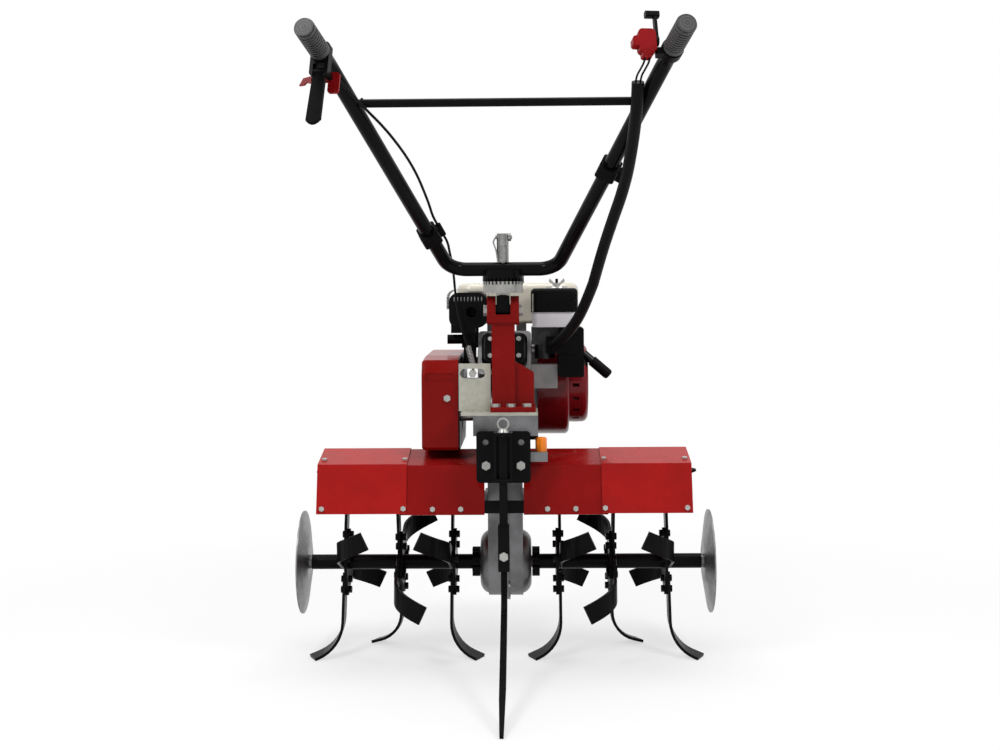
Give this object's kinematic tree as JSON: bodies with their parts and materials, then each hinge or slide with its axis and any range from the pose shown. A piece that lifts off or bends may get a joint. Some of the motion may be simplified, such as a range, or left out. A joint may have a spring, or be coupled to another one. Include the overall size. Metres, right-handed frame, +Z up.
{
  "type": "garden tiller",
  "caption": "Walk-behind petrol garden tiller: bent-blade tine axle under red mudguards, chain case, engine with belt drive, drag bar and a swivelling tube handlebar.",
  "frame": {"origin": "on the floor under the middle of the machine's outline", "axes": "+X to the operator's right along the tine axle, +Y forwards, +Z up"},
  "size_m": [0.862, 1.0242, 1.2281],
  "materials": {
    "red_paint": "gloss",
    "dark_red_paint": "gloss",
    "black_paint": "gloss",
    "black_steel": "satin",
    "bare_aluminium": "matt",
    "zinc_steel": "satin",
    "cast_iron": "matt",
    "cream_tank": "gloss",
    "white_plastic": "satin",
    "black_plastic": "satin",
    "red_plastic": "gloss",
    "orange_plastic": "satin",
    "rubber": "matt",
    "shield_steel": "satin"
  },
  "bodies": {
    "frame": {"bearings": "zinc_steel", "belt_back_plate": "black_steel", "belt_cover": "red_paint", "cable_bracket": "zinc_steel", "carburettor": "bare_aluminium", "control_box": "black_plastic", "cylinder_head": "bare_aluminium", "drag_bar_bracket": "black_paint", "drag_bar_stalk": "black_paint", "drive_chain": "zinc_steel", "engine_block": "bare_aluminium", "engine_plate": "black_steel", "fan_housing": "dark_red_paint", "filter_base": "white_plastic", "filter_cover": "black_plastic", "frame_bolts": "zinc_steel", "fuel_tank": "cream_tank", "gearbox_case_left": "bare_aluminium", "gearbox_case_right": "bare_aluminium", "guard_inner": "red_paint", "guard_outer": "red_paint", "guard_support": "black_steel", "hitch_pin": "zinc_steel", "muffler": "black_steel", "muffler_shield": "shield_steel", "oil_filler_plug": "orange_plastic", "recoil_cover": "dark_red_paint", "spark_plug": "black_plastic", "steering_column": "red_paint", "v_belt": "rubber", "valve_cover": "black_steel"},
    "tine_rotor": {"output_shaft": "zinc_steel", "tine_hubs": "black_steel", "tines_inner": "black_steel", "tines_middle": "black_steel", "tines_outer": "black_steel", "tine_bolts": "black_steel", "side_discs": "zinc_steel"},
    "input": {"input_shaft": "zinc_steel", "driven_pulley": "cast_iron"},
    "crank": {"crankshaft": "zinc_steel", "drive_pulley": "cast_iron", "flywheel": "cast_iron"},
    "idler": {"idler_arm": "zinc_steel"},
    "head": {"handle_head": "zinc_steel"},
    "handle": {"handlebar": "black_paint", "handle_grips": "rubber", "control_brackets": "black_plastic", "throttle_body": "red_plastic", "cable_clips": "black_plastic", "clutch_cable": "rubber", "throttle_loom": "rubber"},
    "clamp": {"clamp_handle": "zinc_steel"},
    "clutch": {"clutch_lever": "black_plastic"},
    "lock": {"lever_lock": "red_plastic"},
    "throttle": {"throttle_lever": "black_plastic"},
    "starter": {"starter_handle": "black_plastic"},
    "spur": {"drag_bar": "black_paint"},
    "tank_cap": {"fuel_cap": "black_plastic"},
    "wing_nut": {"filter_nut": "zinc_steel"}
  },
  "joints": [
    {"name": "tine_rotor", "type": "hinge", "parent": "frame", "child": "tine_rotor", "pos_m": [0, 0.24006, 0.188], "axis": [1, 0, 0], "continuous": true},
    {"name": "input_spin", "type": "hinge", "parent": "frame", "child": "input", "pos_m": [0, 0.19506, 0.5], "axis": [1, 0, 0], "continuous": true},
    {"name": "crank_spin", "type": "hinge", "parent": "frame", "child": "crank", "pos_m": [0, 0.39006, 0.556], "axis": [1, 0, 0], "continuous": true},
    {"name": "handle_tilt", "type": "hinge", "parent": "frame", "child": "head", "pos_m": [0, 0.08006, 0.722], "axis": [1, 0, 0], "range_deg": [-12, 12], "deforming": ["clutch_cable", "throttle_loom"]},
    {"name": "handle_swivel", "type": "hinge", "parent": "head", "child": "handle", "pos_m": [0, 0.08006, 0.78], "axis": [0, 0, 1], "range_deg": [-30, 30], "deforming": ["clutch_cable", "throttle_loom"]},
    {"name": "clamp_turn", "type": "hinge", "parent": "handle", "child": "clamp", "pos_m": [0, 0.08006, 0.84], "axis": [0, 0, 1], "range_deg": [-180, 180]},
    {"name": "clutch_squeeze", "type": "hinge", "parent": "handle", "child": "clutch", "pos_m": [-0.29361, -0.4254, 1.12715], "axis": [-0.985, 0.1724, 0], "range_deg": [0, 55], "stiffness_Nm_per_rad": 1.5, "springref_deg": -22.92},
    {"name": "idler_swing", "type": "hinge", "parent": "frame", "child": "idler", "pos_m": [-0.115, 0.35806, 0.609], "axis": [1, 0, 0], "range_deg": [0, 6]},
    {"name": "lock_tip", "type": "hinge", "parent": "handle", "child": "lock", "pos_m": [-0.29124, -0.41189, 1.12077], "axis": [-0.985, 0.1724, 0], "range_deg": [0, 20], "stiffness_Nm_per_rad": 0.05, "springref_deg": -17.19},
    {"name": "throttle_swing", "type": "hinge", "parent": "handle", "child": "throttle", "pos_m": [0.26444, -0.41539, 1.17488], "axis": [0.985, 0.1724, 0], "range_deg": [-35, 35]},
    {"name": "starter_pull", "type": "slide", "parent": "frame", "child": "starter", "axis": [0.7547, 0, -0.6561], "range_m": [0, 0.45], "stiffness_N_per_m": 20, "springref_m": -0.1},
    {"name": "drag_bar_height", "type": "slide", "parent": "frame", "child": "spur", "axis": [0, 0, 1], "range_m": [0, 0.028]},
    {"name": "fuel_cap_turn", "type": "hinge", "parent": "frame", "child": "tank_cap", "pos_m": [0.0175, 0.40706, 0.785], "axis": [0, 0, 1], "range_deg": [0, 120]},
    {"name": "wing_nut_turn", "type": "hinge", "parent": "frame", "child": "wing_nut", "pos_m": [0.111, 0.23306, 0.77], "axis": [0, 0, 1], "range_deg": [0, 340]}
  ],
  "couplings": [
    {"joint": "input_spin", "follows": "tine_rotor", "ratio": 3},
    {"joint": "crank_spin", "follows": "tine_rotor", "ratio": 4.875},
    {"joint": "idler_swing", "follows": "clutch_squeeze", "ratio": 0.10909}
  ]
}
